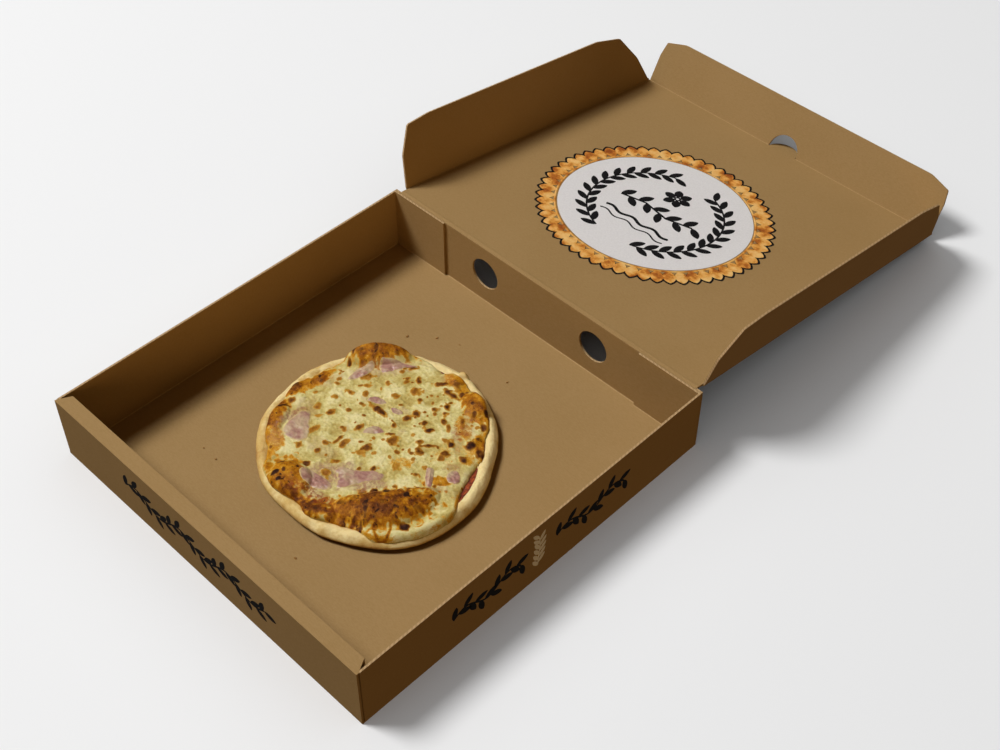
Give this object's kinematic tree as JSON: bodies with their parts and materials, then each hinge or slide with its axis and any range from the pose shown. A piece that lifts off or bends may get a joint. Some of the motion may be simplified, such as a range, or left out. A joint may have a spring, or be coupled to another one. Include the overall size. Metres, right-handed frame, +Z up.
{
  "type": "pizza in an open takeaway box",
  "caption": "Round ham and cheese pizza with baked bubbles in a square folded kraft box, its vented tray open, the flapped lid folded back behind it.",
  "frame": {"origin": "middle of the tray's underside, on the surface that it stands on", "axes": "+Z up, +Y from the tray's rolled front wall to the lid's hinge and along the opened lid, +X to the right"},
  "size_m": [0.3491, 0.6845, 0.1079],
  "materials": {
    "kraft_board": "matt brown kraft liner",
    "baked_dough": "matt, floury golden crust",
    "tomato_sauce": "moist",
    "melted_cheese": "oily sheen with browned spots",
    "cooked_ham": "moist satin"
  },
  "bodies": {
    "tray_and_pizza": {"tray": "kraft_board", "pizza_dough": "baked_dough", "tomato_sauce": "tomato_sauce", "melted_cheese": "melted_cheese", "ham_slice_1": "cooked_ham", "ham_slice_2": "cooked_ham", "ham_slice_3": "cooked_ham", "ham_slice_4": "cooked_ham", "ham_slice_5": "cooked_ham", "ham_slice_6": "cooked_ham", "ham_slice_7": "cooked_ham", "ham_slice_8": "cooked_ham", "ham_slice_9": "cooked_ham", "ham_slice_10": "cooked_ham"},
    "lid": {"lid_panel": "kraft_board"},
    "left_flap": {"lid_left_flap": "kraft_board"},
    "right_flap": {"lid_right_flap": "kraft_board"},
    "front_flap": {"lid_front_flap": "kraft_board"}
  },
  "joints": [
    {"name": "lid_hinge", "type": "hinge", "parent": "tray_and_pizza", "child": "lid", "pos_m": [0, 0.1705, 0.0586], "axis": [1, 0, 0], "range_deg": [-0.8, 188.7]},
    {"name": "left_flap_crease", "type": "hinge", "parent": "lid", "child": "left_flap", "pos_m": [-0.1595, 0.1705, 0.0586], "axis": [0, 0.9884, -0.1518], "range_deg": [-1, 25]},
    {"name": "right_flap_crease", "type": "hinge", "parent": "lid", "child": "right_flap", "pos_m": [0.1595, 0.1705, 0.0586], "axis": [0, 0.9884, -0.1518], "range_deg": [-25, 1]},
    {"name": "front_flap_crease", "type": "hinge", "parent": "lid", "child": "front_flap", "pos_m": [0, 0.49173, 0.00927], "axis": [1, 0, 0], "range_deg": [-1, 29.5]}
  ],
  "couplings": [
    {"joint": "left_flap_crease", "follows": "lid_hinge", "ratio": 0.13},
    {"joint": "right_flap_crease", "follows": "lid_hinge", "ratio": -0.13},
    {"joint": "front_flap_crease", "follows": "lid_hinge", "ratio": 0.153}
  ]
}
